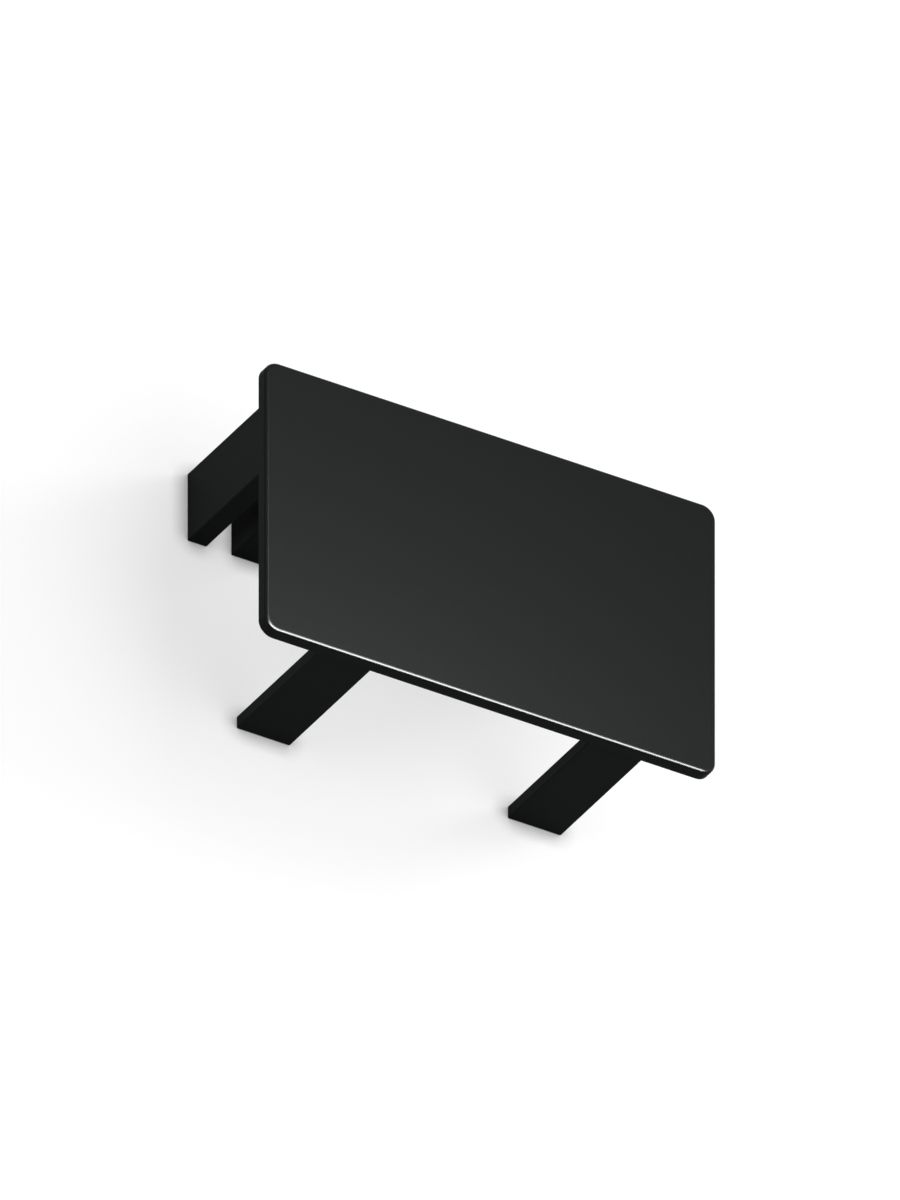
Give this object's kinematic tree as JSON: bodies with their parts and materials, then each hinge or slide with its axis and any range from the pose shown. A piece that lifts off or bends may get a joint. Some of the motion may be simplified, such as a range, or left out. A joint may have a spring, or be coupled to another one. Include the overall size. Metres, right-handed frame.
{
  "type": "profile end cap",
  "caption": "Flat rectangular end cap with rounded corners, a rolled front edge and straight prongs on its back that push into a hollow profile.",
  "frame": {"origin": "centre of the plate's back face, which seats on the cut end of the profile", "axes": "+X along the plate's long edge, +Y up the plate towards the legs, +Z out of the visible face; the prongs point along -Z and their tips carry the part as it stands"},
  "size_m": [0.065, 0.04, 0.0224],
  "materials": {
    "black_plastic": "smooth satin moulded black plastic"
  },
  "bodies": {
    "root": {"end_cap": "black_plastic"}
  },
  "joints": []
}
